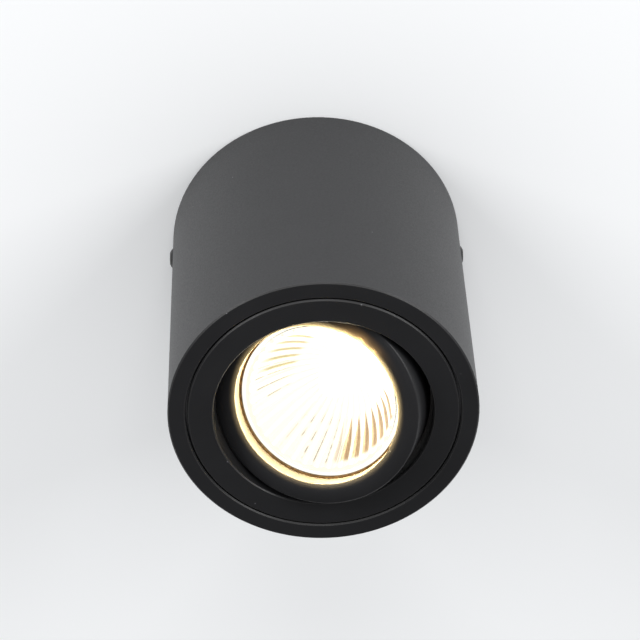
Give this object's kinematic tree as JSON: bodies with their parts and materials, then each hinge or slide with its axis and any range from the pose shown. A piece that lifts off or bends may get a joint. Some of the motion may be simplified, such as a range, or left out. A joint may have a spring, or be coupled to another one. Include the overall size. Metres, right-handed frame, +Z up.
{
  "type": "surface mounted ceiling spotlight",
  "caption": "Round surface mounted ceiling spotlight: a cylindrical housing whose turning insert carries a tilting ring with a reflector lamp.",
  "frame": {"origin": "middle of the ceiling plane, on the housing's axis and the bracket's top face", "axes": "+Z up into the ceiling, X through the two side screws, the lamp leans towards -X -Y"},
  "size_m": [0.0948, 0.093, 0.1078],
  "materials": {
    "black_powder_coat": "matt, fine texture",
    "black_screw": "satin black",
    "zinc_plate": "satin, zinc plated",
    "steel_fastener": "satin, plated",
    "brass": "satin",
    "terminal_plastic": "moulded",
    "bush_plastic": "moulded",
    "lead_insulation": "smooth sleeve",
    "earth_insulation": "smooth sleeve",
    "spring_steel": "bright, drawn",
    "rivet_aluminium": "bright",
    "bare_aluminium": "turned, uncoated",
    "washer_plastic": "moulded",
    "black_wire": "heat-darkened black",
    "reflector": "vapour-coated glass",
    "clear_glass": "pressed, clear",
    "quartz": "clear",
    "tungsten": "drawn wire",
    "lamp_ceramic": "glazed ceramic",
    "nickel_pin": "nickel plated",
    "holder_ceramic": "unglazed steatite ceramic",
    "bronze": "spring bronze",
    "mica": "pressed mica sheet"
  },
  "bodies": {
    "fixed_body": {"housing": "black_powder_coat", "carrier_ring": "bare_aluminium", "ceiling_bracket": "zinc_plate", "clinch_nut_right": "steel_fastener", "clinch_nut_left": "steel_fastener", "side_screw_right": "black_screw", "side_screw_left": "black_screw", "cable_bush": "bush_plastic", "terminal_block": "terminal_plastic", "terminal_sleeves": "brass", "terminal_screws": "steel_fastener", "terminal_fixing_screws": "steel_fastener", "earth_washer": "steel_fastener", "earth_lug": "brass", "earth_screw": "steel_fastener", "lead_earth": "earth_insulation", "lead_line": "lead_insulation", "lead_neutral": "lead_insulation"},
    "trim_insert": {"trim_ring": "black_powder_coat", "retaining_spring_front": "spring_steel", "retaining_spring_back": "spring_steel", "spring_rivets": "rivet_aluminium"},
    "tilting_lamp": {"gimbal_ring": "black_powder_coat", "pivot_pin_a": "steel_fastener", "pivot_pin_b": "steel_fastener", "friction_washer_a": "washer_plastic", "friction_washer_b": "washer_plastic", "lamp_retaining_ring": "black_wire", "lamp_reflector": "reflector", "lamp_front_glass": "clear_glass", "lamp_burner": "quartz", "lamp_filament": "tungsten", "lamp_base": "lamp_ceramic", "lamp_pins": "nickel_pin", "lampholder_body": "holder_ceramic", "holder_contacts": "bronze", "holder_cover": "mica", "holder_rivets": "rivet_aluminium"}
  },
  "joints": [
    {"name": "insert_swivel", "type": "hinge", "parent": "fixed_body", "child": "trim_insert", "pos_m": [0, 0, -0.0925], "axis": [0, 0, 1], "range_deg": [-170, 170], "deforming": ["lead_line", "lead_neutral"]},
    {"name": "lamp_tilt", "type": "hinge", "parent": "trim_insert", "child": "tilting_lamp", "pos_m": [0, 0, -0.089], "axis": [-0.5878, 0.809, 0], "range_deg": [-46.5, 3.5], "deforming": ["lead_line", "lead_neutral"]}
  ]
}
